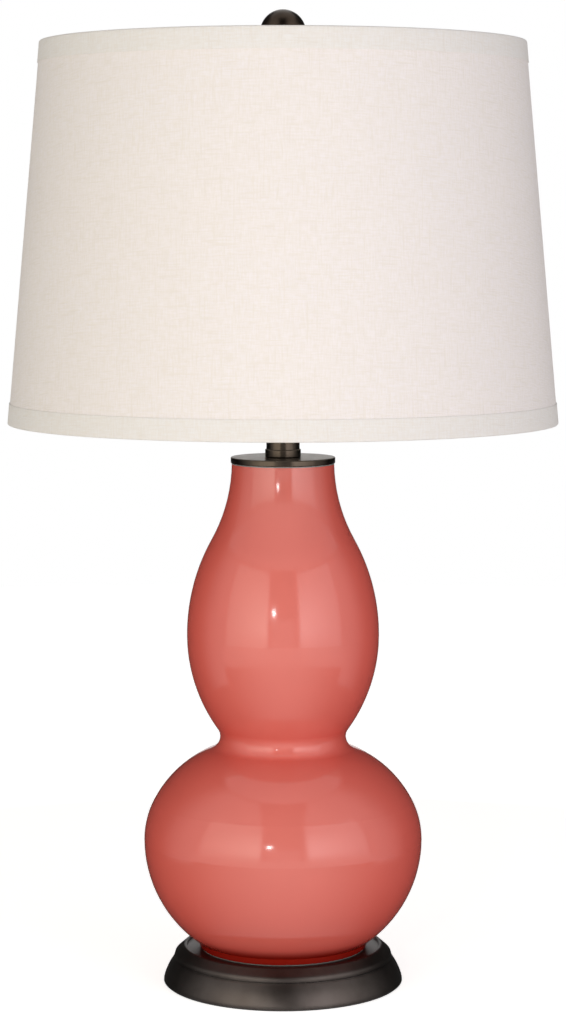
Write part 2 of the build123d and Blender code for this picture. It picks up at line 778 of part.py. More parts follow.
with BuildPart() as centre_contact:
    with BuildSketch(Plane.XY.offset(insulator_top)):
        Circle(contact_radius)
    extrude(amount=contact_thickness)

with BuildPart() as terminal_screws:
    for side in (1, -1):
        with BuildSketch(Plane.YZ.offset(side * (insulator_radius - terminal_flat))):
            with Locations((0, terminal_z)):
                Circle(terminal_head_radius)
        extrude(amount=side * terminal_head)
        with BuildSketch(Plane.YZ.offset(side * (insulator_radius - terminal_flat))):
            with Locations((0, terminal_z)):
                Circle(terminal_shank_radius)
        extrude(amount=-side * terminal_shank)

stem_root = insulator_radius - switch_shaft_seat
stem_end = switch_reach - switch_knob_cover
knob_root = switch_reach - switch_knob_length

with BuildPart() as switch_stem:
    with BuildSketch(Plane.XZ.offset(stem_root)):
        with Locations((0, switch_z)):
            Circle(switch_shaft_radius)
    extrude(amount=stem_end - stem_root)

# Fluted knob pressed on the stem.
with BuildPart() as switch_knob:
    with BuildSketch(Plane.YZ):
        with BuildLine():
            Polyline(
                (-knob_root, switch_z),
                (-knob_root, switch_z + switch_knob_waist),
                (-knob_root - switch_knob_taper, switch_z + switch_knob_radius),
                (-switch_reach, switch_z + switch_knob_radius),
                (-switch_reach, switch_z),
                close=True,
            )
        make_face()
        end_corner = (-switch_reach, switch_z + switch_knob_radius)
        fillet(vertices().sort_by_distance(end_corner)[0], switch_knob_round)
    revolve(axis=Axis((0, 0, switch_z), (0, 1, 0)))
    with BuildSketch(Plane.XZ.offset(knob_root + switch_knob_taper)):
        with Locations((0, switch_z)):
            with PolarLocations(switch_knob_radius + switch_flute_radius / 2, switch_knob_flutes):
                Circle(switch_flute_radius)
    extrude(amount=switch_knob_length, mode=Mode.SUBTRACT)
    with BuildSketch(Plane.XZ.offset(knob_root)):
        with Locations((0, switch_z)):
            Circle(switch_shaft_radius)
    extrude(amount=stem_end - knob_root, mode=Mode.SUBTRACT)

# ---------------------------------------------------------------- bulb

# Round globe that runs into a straight neck; the neck's end is cemented into the metal base.
neck_arc_turn = 1 - cos(radians(bulb_shoulder_angle))
neck_arc_run = bulb_radius * cos(radians(bulb_shoulder_angle)) - bulb_neck_radius

with BuildPart() as bulb_glass:
    with BuildSketch(Plane.XZ):
        with BuildLine():
            globe = JernArc((0, bulb_top), (1, 0), bulb_radius, -90 - bulb_shoulder_angle)
            flare = JernArc(
                globe @ 1, globe % 1, neck_arc_run / neck_arc_turn, bulb_shoulder_angle
            )
            Polyline(
                flare @ 1,
                (bulb_neck_radius, bulb_base_top),
                (bulb_base_radius - bulb_base_wall, bulb_base_top),
                (bulb_base_radius - bulb_base_wall, bulb_base_top - bulb_neck_tuck),
                (0, bulb_base_top - bulb_neck_tuck),
                globe @ 0,
            )
        make_face()
        mirror(about=Plane.YZ)
        offset(amount=-bulb_glass_wall, kind=Kind.INTERSECTION, mode=Mode.SUBTRACT)
        with Locations((0, bulb_base_top - bulb_neck_tuck)):
            Rectangle(
                2 * (bulb_base_radius - bulb_base_wall - bulb_glass_wall),
                3 * bulb_glass_wall,
                mode=Mode.SUBTRACT,
            )
        split(bisect_by=Plane.YZ)
    revolve(axis=Axis.Z)

with BuildPart() as bulb_base:
    with BuildSketch(Plane.XY.offset(bulb_base_bottom)):
        Circle(bulb_base_radius)
    extrude(amount=bulb_base_top - bulb_base_bottom)
    chamfer(bulb_base.edges().group_by(Axis.Z)[0], bulb_base_chamfer)
    with BuildSketch(Plane.XY.offset(bulb_base_bottom + bulb_base_chamfer)):
        Circle(bulb_base_radius - bulb_base_wall)
    extrude(amount=bulb_length, mode=Mode.SUBTRACT)

with BuildPart() as bulb_insulator:
    with BuildSketch(Plane.XZ):
        with BuildLine():
            Polyline(
                (0, bulb_insulator_bottom),
                (bulb_insulator_tip, bulb_insulator_bottom),
                (bulb_base_radius - bulb_base_chamfer, bulb_base_bottom),
                (0, bulb_base_bottom),
                close=True,
            )
        make_face()
    revolve(axis=Axis.Z)

with BuildPart() as bulb_contact:
    with BuildSketch(Plane.XY.offset(bulb_bottom)):
        Circle(bulb_contact_radius)
    extrude(amount=bulb_contact_height)

# ---------------------------------------------------------------- shade

with BuildPart() as shade_top_ring:
    with BuildSketch(Plane.XZ):
        with Locations((ring_radius(top_ring_z), top_ring_z)):
            Circle(ring_wire / 2)
    revolve(axis=Axis.Z)

with BuildPart() as shade_bottom_ring:
    with BuildSketch(Plane.XZ):
        with Locations((ring_radius(bottom_ring_z), bottom_ring_z)):
            Circle(ring_wire / 2)
    revolve(axis=Axis.Z)

# Hub on the harp's stud, and wire arms that run out level and bend up to the top ring. The arms lie
# flush with the hub's upper face, which the finial turns on.
arm_z = hub_top - spider_wire / 2
arm_end = ring_radius(top_ring_z)

with BuildPart() as shade_arm:
    with BuildLine(Plane.YZ):
        FilletPolyline(
            (hub_radius - hub_weld, arm_z),
            (arm_end - spider_rise_run, arm_z),
            (arm_end, top_ring_z),
            radius=spider_bend,
        )
    with BuildSketch(Plane.XZ.offset(hub_weld - hub_radius)):
        with Locations((0, arm_z)):
            Circle(spider_wire / 2)
    sweep()

with BuildPart() as shade_spider:
    with BuildSketch(Plane.XY.offset(hub_bottom)):
        Circle(hub_radius)
    extrude(amount=hub_thickness)
    with PolarLocations(0, spider_arms):
        add(shade_arm.part)
    add(shade_top_ring.part, mode=Mode.SUBTRACT)
    with BuildSketch(Plane.XY.offset(hub_bottom)):
        Circle(stud_bore_radius)
    extrude(amount=hub_thickness, mode=Mode.SUBTRACT)

with BuildPart() as shade_fabric:
    with BuildSketch(Plane.XZ):
        with BuildLine():
            panel_outline(trim_thickness, fabric_thickness)
        make_face()
    revolve(axis=Axis.Z)

with BuildPart() as shade_liner:
    with BuildSketch(Plane.XZ):
        with BuildLine():
            panel_outline(trim_thickness + fabric_thickness, liner_thickness)
        make_face()
    revolve(axis=Axis.Z)

# The bands over the rims; the upper one's hem is notched where the spider's arms come in.
with BuildPart() as top_trim:
    with BuildSketch(Plane.XZ):
        with BuildLine():
            trim_outline(shade_top, 1, top_ring_z)
        make_face()
    revolve(axis=Axis.Z)
    notch_depth = ring_wire + hem_overlap + spider_wire
    with PolarLocations(0, spider_arms):
        with Locations((0, arm_end - ring_wire, shade_top - trim_thickness)):
            Box(
                spider_wire + 2 * spider_notch,
                2 * ring_wire,
                notch_depth,
                align=(Align.CENTER, Align.CENTER, Align.MAX),
                mode=Mode.SUBTRACT,
            )

with BuildPart() as bottom_trim:
    with BuildSketch(Plane.XZ):
        with BuildLine():
            trim_outline(shade_bottom, -1, bottom_ring_z)
        make_face()
    revolve(axis=Axis.Z)

# ---------------------------------------------------------------- finial

with BuildPart() as finial:
    cove_z = finial_bottom + finial_foot_height
    with BuildSketch(Plane.XZ):
        with BuildLine():
            cove = CenterArc(
                (finial_neck_radius + finial_cove, cove_z + finial_cove), finial_cove, 180, 90
            )
            Polyline(
                cove @ 1,
                (finial_foot_radius, cove_z),
                (finial_foot_radius, finial_bottom),
                (0, finial_bottom),
                (0, ball_z + finial_ball_radius),
            )
            ball_start = degrees(asin(ball_drop / finial_ball_radius))
            ball = CenterArc((0, ball_z), finial_ball_radius, -ball_start, 90 + ball_start)
            Line(cove @ 0, ball @ 0)
        make_face()
        fillet(
            vertices().sort_by_distance((finial_foot_radius, finial_bottom))[0],
            finial_foot_round,
        )
    revolve(axis=Axis.Z)
    with BuildSketch(Plane.XY.offset(finial_bottom)):
        Circle(stud_bore_radius)
    extrude(amount=stud_top + finial_bore_spare - finial_bottom, mode=Mode.SUBTRACT)

# ---------------------------------------------------------------- one file for each piece

pieces = {
    "felt_pad": felt_pad,
    "base_shell": base_shell,
    "cord_bushing": cord_bushing,
    "base_weight": base_weight,
    "foot_washer": foot_washer,
    "foot_nut": foot_nut,
    "foot_gasket": foot_gasket,
    "glass_body": glass_body,
    "cap_gasket": cap_gasket,
    "vase_cap": vase_cap,
    "neck_collar": neck_collar,
    "neck_tube": neck_tube,
    "lamp_pipe": lamp_pipe,
    "lock_washer": lock_washer,
    "harp_saddle": harp_saddle,
    "harp_bow": harp_bow,
    "harp_stud": harp_stud,
    "ferrule_left": ferrule_left,
    "ferrule_right": ferrule_right,
    "socket_cap": socket_cap,
    "set_screw": set_screw,
    "socket_shell": socket_shell,
    "socket_liner": socket_liner,
    "socket_insulator": socket_insulator,
    "screw_shell": screw_shell,
    "centre_contact": centre_contact,
    "terminal_screws": terminal_screws,
    "switch_stem": switch_stem,
    "switch_knob": switch_knob,
    "bulb_glass": bulb_glass,
    "bulb_base": bulb_base,
    "bulb_insulator": bulb_insulator,
    "bulb_contact": bulb_contact,
    "shade_top_ring": shade_top_ring,
    "shade_spider": shade_spider,
    "shade_bottom_ring": shade_bottom_ring,
    "shade_liner": shade_liner,
    "shade_fabric": shade_fabric,
    "top_trim": top_trim,
    "bottom_trim": bottom_trim,
    "finial": finial,
}

for name, piece in pieces.items():
    piece.part.label = name
    export_step(piece.part, f"parts/{name}.step")
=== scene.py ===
# %% [markdown]
# # A double gourd table lamp
# The solids of this lamp are already made: a glass vase blown as two bulbs, a stepped metal foot, a
# harp with its socket and bulb, and a drum shade. This script dresses them. It gives every solid
# the finish of its real material, makes the shade's cloth anew as cloth, and sets up a small
# studio. All lengths in the scene are metres; MM turns a size in millimetres into metres.

import json
import math

import bmesh
import bpy
from mathutils import Matrix, Vector


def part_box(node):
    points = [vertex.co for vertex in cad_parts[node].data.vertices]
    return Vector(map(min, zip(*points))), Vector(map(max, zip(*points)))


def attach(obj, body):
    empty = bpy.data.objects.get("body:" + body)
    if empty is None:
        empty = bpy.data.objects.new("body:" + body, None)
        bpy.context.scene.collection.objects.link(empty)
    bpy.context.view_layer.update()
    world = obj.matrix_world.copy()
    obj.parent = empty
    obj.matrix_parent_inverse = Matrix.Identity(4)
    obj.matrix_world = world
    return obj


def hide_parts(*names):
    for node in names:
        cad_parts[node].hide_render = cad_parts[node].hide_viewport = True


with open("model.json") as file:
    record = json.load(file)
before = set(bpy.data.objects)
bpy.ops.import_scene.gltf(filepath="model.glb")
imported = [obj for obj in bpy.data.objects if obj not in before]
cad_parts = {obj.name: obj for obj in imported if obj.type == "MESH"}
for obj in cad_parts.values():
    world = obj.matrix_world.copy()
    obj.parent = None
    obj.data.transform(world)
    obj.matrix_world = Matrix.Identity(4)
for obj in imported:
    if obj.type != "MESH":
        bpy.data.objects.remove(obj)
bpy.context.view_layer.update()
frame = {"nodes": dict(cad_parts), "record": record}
MM = 0.001

# %% [markdown]
# ## Two helpers for materials
# Colours are picked on a screen, so they are written as sRGB hex codes. The renderer adds up
# light in linear values, and one function turns the codes into those. The other helper adds a node,
# sets its options, and fills or links its sockets, so that a material reads as a short list.

# %% Colour and node helpers
def linear(code):
    """Linear RGBA of an sRGB hex code such as F2ECE4."""
    parts = [int(code[i:i + 2], 16) / 255 for i in (0, 2, 4)]
    return [p / 12.92 if p <= 0.04045 else ((p + 0.055) / 1.055) ** 2.4 for p in parts] + [1]


def add(tree, kind, sockets=None, **options):
    """Adds a node. A socket's value is a number, a vector, or another node's output to link."""
    node = tree.nodes.new(kind)
    for option, value in options.items():
        setattr(node, option, value)
    for socket, value in (sockets or {}).items():
        if isinstance(value, bpy.types.NodeSocket):
            tree.links.new(value, node.inputs[socket])
        else:
            node.inputs[socket].default_value = value
    return node


def begin(name):
    """A new material with its node tree and its shader."""
    material = bpy.data.materials.new(name)
    material.use_nodes = True
    return material, material.node_tree, material.node_tree.nodes["Principled BSDF"]


def wire(tree, shader, **sources):
    """Links outputs to the shader's sockets; Base_Color stands for Base Color."""
    for socket, output in sources.items():
        tree.links.new(output, shader.inputs[socket.replace("_", " ")])


print("white in linear light:", [round(v, 3) for v in linear("FFFFFF")])

# %% [markdown]
# ## Finishes that share one recipe
# Metal, paint and moulded plastic are never quite even: handling, rolling marks and casting leave
# patches that are a little darker, rougher or lower than the rest. One noise at the real size of
# those patches can drive all three. A stretch draws the noise out along an axis, as brushing or
# spinning does. What is even all over, such as metallic or coat, is set on the shader itself. An
# edge that lacquer has filled looks rounder than it was turned; a soft edge gives it that look.

# %% A recipe for uneven surfaces
def uneven(name, dark, light, patch, roughness, relief, stretch=(1, 1, 1), soft_edge=0, **even):
    """A material from one noise; patch, relief and the soft edge's radius are in millimetres."""
    material, tree, shader = begin(name)
    place = add(tree, "ShaderNodeTexCoord")
    drawn = add(
        tree, "ShaderNodeMapping", {"Vector": place.outputs["Object"], "Scale": stretch}
    )
    noise = add(
        tree,
        "ShaderNodeTexNoise",
        {"Vector": drawn.outputs[0], "Scale": 1 / (patch * MM), "Detail": 4.0},
    )
    share = {"Value": noise.outputs[0], "From Min": 0.3, "From Max": 0.7}
    tone = add(tree, "ShaderNodeMapRange", share)
    colour = add(
        tree,
        "ShaderNodeMix",
        {0: tone.outputs[0], 6: linear(dark), 7: linear(light)},
        data_type="RGBA",
    )
    rough = add(
        tree, "ShaderNodeMapRange", {**share, "To Min": roughness[0], "To Max": roughness[1]}
    )
    bump = add(
        tree, "ShaderNodeBump", {"Height": noise.outputs[0], "Distance": relief * MM}
    )
    if soft_edge:
        worn = add(tree, "ShaderNodeBevel", {"Radius": soft_edge * MM}, samples=6)
        tree.links.new(worn.outputs[0], bump.inputs["Normal"])
    wire(
        tree,
        shader,
        Base_Color=colour.outputs[2],
        Roughness=rough.outputs[0],
        Normal=bump.outputs[0],
    )
    for socket, value in even.items():
        shader.inputs[socket.replace("_", " ")].default_value = value
    return material


finishes = {}
print("a patch of 16 mm gives a noise scale of", round(1 / (16 * MM), 1))

# %% [markdown]
# ## Metals
# The foot, cap, neck and finial are steel spun or turned to shape and then finished as dark bronze:
# a nearly black plating under satin lacquer. It shows soft, wide reflections, and brown where the
# lacquer is thick. The foot is blacker than the cap and the finial. The harp and the socket are
# brass, rolled and plated; hidden hardware is zinc plated steel with its bluish grey grain.

# %% Metal finishes
# spun steel, dark bronze under satin lacquer: soft, wide reflections
finishes["bronze_foot"] = uneven(
    "dark_bronze_spun_satin", "433D3A", "4C4643", 16, (0.36, 0.40), 0.001, soft_edge=3,
    Metallic=1.0
)
# turned steel, brown bronze under satin lacquer: tighter reflections
finishes["bronze_cap"] = uneven(
    "brown_bronze_turned_satin", "3A332C", "463E36", 9, (0.22, 0.27), 0.002, Metallic=1.0
)
# cast ball, brown bronze under lacquer: one soft round highlight
finishes["bronze_finial"] = uneven(
    "brown_bronze_cast_ball", "3B322B", "4A3F36", 9, (0.28, 0.34), 0.003, Metallic=1.0
)
# rolled wire, brass plated: bright, with a fine grain
finishes["harp_brass"] = uneven(
    "brass_plated_wire", "B08A4A", "C9A561", 3, (0.22, 0.32), 0.003, Metallic=1.0
)
# stamped brass: bright, with marks drawn upright by the die
finishes["socket_brass"] = uneven(
    "brass_stamped", "BC9550", "D6B26B", 5, (0.20, 0.30), 0.003, (1, 1, 0.3), Metallic=1.0
)
# steel, zinc plated: bluish grey with a fine spangle
finishes["zinc_steel"] = uneven(
    "steel_zinc_plated", "A9ACAE", "C4C6C6", 2, (0.28, 0.40), 0.004, Metallic=1.0
)
# drawn aluminium: pale, with upright marks
finishes["screw_shell_metal"] = uneven(
    "aluminium_drawn", "BFC0C0", "D4D4D2", 2, (0.22, 0.34), 0.003, (1, 1, 0.2), Metallic=1.0
)
# solder, melted on: dull and lumpy
finishes["solder"] = uneven(
    "solder_dot", "9C9C9A", "BDBDBA", 1.5, (0.30, 0.45), 0.02, Metallic=1.0
)
# sand cast iron: dark, rough and pitted
finishes["cast_weight"] = uneven(
    "iron_sand_cast", "33312F", "4A4744", 1.8, (0.60, 0.80), 0.12, Metallic=1.0
)
print("metals:", ", ".join(finishes))

# %% [markdown]
# ## Paint, plastic, board, felt
# The shade's wires are dipped in white paint. The switch knob and the socket's inner body are
# phenolic, moulded and matt. The socket's liner is pressed board with a fibrous face. Felt is a mat
# of short fibres: the noise is fine, the relief high, and a sheen stands for the loose ends.

# %% Other plain finishes
# wire dipped in white paint: even, with a slight gloss
finishes["shade_wire"] = uneven(
    "wire_white_dipped", "DEDBD4", "ECEAE4", 4, (0.30, 0.42), 0.02
)
# styrene sheet, satin: smooth and plain
finishes["shade_backing"] = uneven(
    "styrene_sheet_satin", "E9E5DD", "F3F0EA", 30, (0.42, 0.52), 0.02
)
# moulded phenolic: nearly black, with a dull gloss
finishes["black_plastic"] = uneven(
    "phenolic_moulded", "171615", "24211F", 1.2, (0.40, 0.52), 0.010
)
# pressed board: brown, fibrous and matt
finishes["liner_board"] = uneven(
    "board_pressed", "7A6043", "9A7D5A", 1.5, (0.80, 0.92), 0.06, (1, 1, 0.3)
)
# needled felt: black, under a haze of loose fibres
finishes["felt"] = uneven(
    "felt_needled", "161616", "2C2B2A", 0.6, (0.92, 1.0), 0.25, Sheen_Weight=0.4
)
# clear vinyl ring: cloudy, and lets some light through
finishes["clear_gasket"] = uneven(
    "vinyl_ring_clear",
    "8D918D",
    "A5A9A5",
    2,
    (0.35, 0.50),
    0.01,
    Transmission_Weight=0.4,
    IOR=1.5,
)
# blown glass, frosted inside: white, with a soft gloss
finishes["bulb_white"] = uneven(
    "glass_frosted_bulb", "EDECE6", "F6F5F1", 12, (0.32, 0.42), 0.004, IOR=1.5
)
# fused black glass: deep black and glossy
finishes["black_glass"] = uneven(
    "glass_fused_black", "0D0D0F", "1B1B1E", 4, (0.08, 0.16), 0.02, IOR=1.5
)
print("finishes so far:", len(finishes))

# %% [markdown]
# ## Painted glass
# The vase is clear blown glass with opaque red paint behind it. White light that comes back from
# the paint has crossed the glass twice, so it is coloured more where the eye meets the wall at a
# slant: the rims of both bulbs look deeper red than their middles. A coat with a red tint does
# this, since its tint deepens with the slant, and its smooth face gives the sharp reflections.
# Blown glass is never perfectly round, so a faint, wide relief bends those reflections a little,
# and the paint behind it is a touch uneven. Low on the lower bulb, where the metal foot shades the
# glass, the red is darkened in the colour itself: painted shade.

# %% Painted glass
PAINT_PATCH = 45  # size of the paint's faint patches, in mm
RIPPLE = 38  # size of the glass's ripples, in mm
# painted shade near the foot: full below the first height, gone above the second
SHADE_FULL_BELOW, SHADE_GONE_ABOVE = 5, 15  # heights above the glass's foot, in mm
GLASS_TINT = "E97F75"
material, tree, shader = begin("glass_blown_red_painted")
place = add(tree, "ShaderNodeTexCoord")
cloud = add(
    tree,
    "ShaderNodeTexNoise",
    {"Vector": place.outputs["Object"], "Scale": 1 / (PAINT_PATCH * MM), "Detail": 2.0},
)
paint = add(
    tree,
    "ShaderNodeMix",
    {0: cloud.outputs[0], 6: linear("F0EEEC"), 7: linear("F6F4F2")},
    data_type="RGBA",
)
foot_of_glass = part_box("glass_body")[0].z
height = add(tree, "ShaderNodeSeparateXYZ", {0: place.outputs["Object"]})
thick = add(
    tree,
    "ShaderNodeMapRange",
    {
        "Value": height.outputs[2],
        "From Min": foot_of_glass + SHADE_FULL_BELOW * MM,
        "From Max": foot_of_glass + SHADE_GONE_ABOVE * MM,
        "To Min": 1.0,
        "To Max": 0.0,
    },
    interpolation_type="SMOOTHSTEP",
)
# painted shade: the red darkens towards the foot, where the metal foot shades the glass
red_with_painted_shade = add(
    tree,
    "ShaderNodeMix",
    {0: thick.outputs[0], 6: paint.outputs[2], 7: linear("AA4C38")},
    data_type="RGBA",
)
wave = add(
    tree,
    "ShaderNodeTexNoise",
    {"Vector": place.outputs["Object"], "Scale": 1 / (RIPPLE * MM), "Detail": 1.0},
)
ripple = add(tree, "ShaderNodeBump", {"Height": wave.outputs[0], "Distance": 0.05 * MM})
wire(tree, shader, Base_Color=red_with_painted_shade.outputs[2], Coat_Normal=ripple.outputs[0])
for socket, value in {
    "Roughness": 0.6,
    "Specular IOR Level": 0.0,
    "Coat Weight": 1.0,
    "Coat Roughness": 0.12,
    "Coat IOR": 1.42,
    "Coat Tint": linear(GLASS_TINT),
}.items():
    shader.inputs[socket].default_value = value
finishes["red_glass"] = material
print("glass tint:", [round(v, 3) for v in linear(GLASS_TINT)[:3]])

# %% [markdown]
# ## Linen
# The shade is covered with linen, a plain weave of uneven yarn. Thick places in a yarn, called
# slubs, show as short streaks, level along the weft and upright along the warp. The pattern is read
# from the cloth's own UV map, which is the flat cut in metres, so it follows the cloth round the
# shade. Real yarns lie about 0.5 mm apart; here they are drawn rather more than twice as coarse,
# since finer ones would vanish in the picture.

# %% Sizes of the weave
YARN = 1.2  # spacing at which yarns are drawn, in mm
YARN_RUN = 8  # length over which a yarn keeps its thickness, in mm
SLUB = 1.7  # thickness of a slub, in mm
SLUB_RUN = 30  # length of a slub, in mm
SLUB_SHADE = 0.55  # how much a slub darkens the weave, 1 being all the way
DYE_PATCH = 70  # size of faint patches in the colour, in mm
print("yarns to the centimetre, as drawn:", round(10 / YARN, 1))

# %% Linen
def linen(name, dark, light, shift):
    """Linen; shift moves the pattern, so that bands and panel don't match."""
    material, tree, shader = begin(name)
    cut = add(tree, "ShaderNodeUVMap", uv_map="cut")
    weave, streaks = [], []
    for level, (across, along) in enumerate(((YARN_RUN, YARN), (YARN, YARN_RUN))):
        run = (SLUB_RUN, SLUB) if level == 0 else (SLUB, SLUB_RUN)
        for sizes, kept, detail in (((across, along), weave, 2.0), (run, streaks, 1.0)):
            scale = [1 / (size * MM) for size in sizes] + [1]
            spot = add(
                tree,
                "ShaderNodeMapping",
                {"Vector": cut.outputs[0], "Scale": scale, "Location": (shift, level * 7, 0)},
            )
            kept.append(
                add(
                    tree,
                    "ShaderNodeTexNoise",
                    {"Vector": spot.outputs[0], "Scale": 1.0, "Detail": detail},
                    noise_dimensions="2D",
                ).outputs[0]
            )
    yarn = add(tree, "ShaderNodeMath", {0: weave[0], 1: weave[1]}, operation="ADD")
    slub = add(tree, "ShaderNodeMath", {0: streaks[0], 1: streaks[1]}, operation="MAXIMUM")
    thin = add(
        tree, "ShaderNodeMapRange", {"Value": yarn.outputs[0], "From Min": 0.62, "From Max": 1.38}
    )
    thick = add(
        tree, "ShaderNodeMapRange", {"Value": slub.outputs[0], "From Min": 0.62, "From Max": 0.80}
    )
    depth = add(
        tree,
        "ShaderNodeMath",
        {0: thick.outputs[0], 1: -SLUB_SHADE, 2: thin.outputs[0]},
        operation="MULTIPLY_ADD",
    )
    cloud = add(
        tree,
        "ShaderNodeTexNoise",
        {"Vector": cut.outputs[0], "Scale": 1 / (DYE_PATCH * MM), "Detail": 1.0},
    )
    warm = add(
        tree,
        "ShaderNodeMix",
        {0: cloud.outputs[0], 6: linear(light[0]), 7: linear(light[1])},
        data_type="RGBA",
    )
    colour = add(
        tree,
        "ShaderNodeMix",
        {0: depth.outputs[0], 6: linear(dark), 7: warm.outputs[2]},
        data_type="RGBA",
    )
    bump = add(
        tree, "ShaderNodeBump", {"Height": depth.outputs[0], "Distance": 0.10 * MM}
    )
    wire(tree, shader, Base_Color=colour.outputs[2], Normal=bump.outputs[0])
    shader.inputs["Roughness"].default_value = 0.92
    shader.inputs["Specular IOR Level"].default_value = 0.2
    shader.inputs["Sheen Weight"].default_value = 0.15
    return material


panel_linen = linen("linen_slub_weave", "E9E2DD", ("F0E9E8", "EEE9EB"), 0)
band_linen = linen("linen_band_weave", "E5E0DB", ("EAE7E4", "E9E7E8"), 40)
print("linen:", panel_linen.name, band_linen.name)

# %% [markdown]
# ## The shade's cloth
# A hardback shade is a styrene panel with cloth glued on. The cloth is cut as a slice of a ring,
# wrapped round, and its end is lapped over its start at the back. A bmesh spin can do the same: a
# short upright line is swept nearly once round, then lifted by the cloth's thickness while it
# climbs over its own start, and then run on for the lap. The bands on both rims are made the same
# way, from a line that is folded over the rim.

# %% Sizes of the shade
low_rim, low_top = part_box("bottom_trim")
high_edge, high_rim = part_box("top_trim")
taper = (low_top.x - high_rim.x) / (high_edge.z - low_rim.z)
cloth_wall = 0.5 * MM
panel_inset = 0.6 * MM  # the bands stand out from the panel by this much
LAP = 9 * MM  # how far the cloth's end covers its start, at the back
EASE = 4 * MM  # the run over which the end climbs onto the start
AROUND = 240  # faces round the shade


def shade_radius(z):
    """Radius of the bands' outer face at this height."""
    return low_top.x - (z - low_rim.z) * taper


slant = math.hypot(1, taper)
lean = taper / slant  # sine of the angle between the shade's side and upright
print("radius at rims:", round(shade_radius(low_rim.z), 4), round(shade_radius(high_rim.z), 4))

# %% Wrap cloth round the shade
def wrapped(name, section, material):
    """Cloth swept round the axis from a section of (radius, height), with a lap at the back."""
    mesh = bmesh.new()
    points = [mesh.verts.new((0, radius, z)) for radius, z in section]
    ring = points + [mesh.edges.new(pair) for pair in zip(points, points[1:])]
    size = section[0][0]
    for run, lift, steps in (
        (math.tau * size - EASE, 0, AROUND),
        (EASE, cloth_wall, 3),
        (LAP, 0, 3),
    ):
        ring = bmesh.ops.spin(
            mesh,
            geom=ring,
            cent=(0, 0, 0),
            axis=(0, 0, 1),
            dvec=(0, lift / steps, 0),
            angle=run / size,
            steps=steps,
            use_merge=False,
        )["geom_last"]
    bmesh.ops.recalc_face_normals(mesh, faces=mesh.faces)
    bmesh.ops.solidify(mesh, geom=mesh.faces[:], thickness=cloth_wall * 0.9)
    cut = mesh.loops.layers.uv.new("cut")
    for face in mesh.faces:
        centre = face.calc_center_median()
        middle = math.atan2(centre.x, -centre.y)
        for loop in face.loops:
            x, y, z = loop.vert.co
            turn = math.atan2(x, -y)
            turn += math.tau * round((middle - turn) / math.tau)
            reach = math.hypot(x, y) / lean
            loop[cut].uv = (reach * math.sin(turn * lean), -reach * math.cos(turn * lean))
    data = bpy.data.meshes.new(name)
    mesh.to_mesh(data)
    mesh.free()
    data.materials.append(material)
    data.shade_smooth()
    data.set_sharp_from_angle(angle=math.radians(50))
    piece = bpy.data.objects.new(name, data)
    bpy.context.scene.collection.objects.link(piece)
    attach(piece, "shade")
    print(name, "faces:", len(data.polygons))
    return piece


# %% [markdown]
# The panel's cloth is a straight section. Each band's section starts at its turned-under edge,
# runs up the outside, rolls over the rim, and ends in a hem inside, past the rim's wire. Folds in
# cloth are soft, so every corner of the section has a point on each side of it.

# %% Panel and bands
panel_rows = 14
panel_low = low_rim.z + panel_inset
panel_high = high_rim.z - panel_inset
panel_section = []
for row in range(panel_rows + 1):
    z = panel_low + (panel_high - panel_low) * row / panel_rows
    panel_section.append((shade_radius(z) - panel_inset, z))
shade_cloth = wrapped("shade_cloth", panel_section, panel_linen)
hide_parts("shade_fabric")


def band_section(rim, side):
    """Section of a band; rim is the height of its rim, side is 1 above and -1 below."""
    hem = hem_radius[side]
    # each row: how far in from the rim, and how far out of the band's face, in mm
    rows = [
        (15.1, -0.42), (15.4, -0.22), (15.3, -0.05), (14.9, 0.0), (11.0, 0.0), (7.0, 0.0),
        (3.5, 0.0), (1.2, 0.0), (0.5, -0.12), (0.12, -0.45),
    ]
    section = []
    for drop, out in rows:
        z = rim - side * drop * MM
        section.append((shade_radius(z) + out * MM, z))
    # over the rim's wire, and down the inside to the hem
    section.append((shade_radius(rim) - 1.0 * MM, rim))
    section.append((hem + 0.9 * MM, rim))
    section.append((hem + 0.25 * MM, rim - side * 0.2 * MM))
    section.append((hem, rim - side * 0.8 * MM))
    section.append((hem, rim - side * 3.6 * MM))
    return section


def inner_radius(node):
    """Smallest distance of a solid's corners from the axis."""
    return min(math.hypot(v.co.x, v.co.y) for v in frame["nodes"][node].data.vertices)


hem_radius = {1: inner_radius("top_trim"), -1: inner_radius("bottom_trim")}
top_band = wrapped("shade_band_top", band_section(high_rim.z, 1), band_linen)
bottom_band = wrapped("shade_band_bottom", band_section(low_rim.z, -1), band_linen)
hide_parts("top_trim")
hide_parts("bottom_trim")
print("hems end at radius:", {k: round(v, 4) for k, v in hem_radius.items()})

# %% [markdown]
# The cloth's flat cut is known from the shade: a slice of a ring, 279 mm wide, whose arcs have the
# length of the rims.

# %% [markdown]
# ## Give every solid its finish
# The record names a material slot for each solid. The same names are used for the finishes here,
# so one loop can hand them out.

# %% Hand out the finishes
slot_of = {p["node"]: p["material_slot"] for p in frame["record"]["subparts"]}
for name, solid in frame["nodes"].items():
    finish = slot_of[name]
    for material_slot in solid.material_slots:
        material_slot.material = panel_linen if finish == "linen" else finishes[finish]
print("finished solids:", len(slot_of))

# %% [markdown]
# ## Studio
# Product pictures of glass are made with two tall soft lights left and right of the camera. Their
# reflections show as two broad pale fields with a gap between them, and all else that stands round
# the lamp shows in the glass too. Every piece of the studio is a plain mesh marked as stage, since
# it isn't part of the lamp. Some are there for reflections only: the camera doesn't see them, and
# they neither light nor shade the lamp.

# %% Helpers for the studio
def stage_piece(name, mesh, material, reflected_only=False):
    """An object of the studio, which isn't part of the lamp."""
    data = bpy.data.meshes.new(name)
    mesh.to_mesh(data)
    mesh.free()
    data.materials.append(material)
    piece = bpy.data.objects.new(name, data)
    bpy.context.scene.collection.objects.link(piece)
    if reflected_only:
        piece.visible_camera = False
        piece.visible_diffuse = False
        piece.visible_shadow = False
    return piece


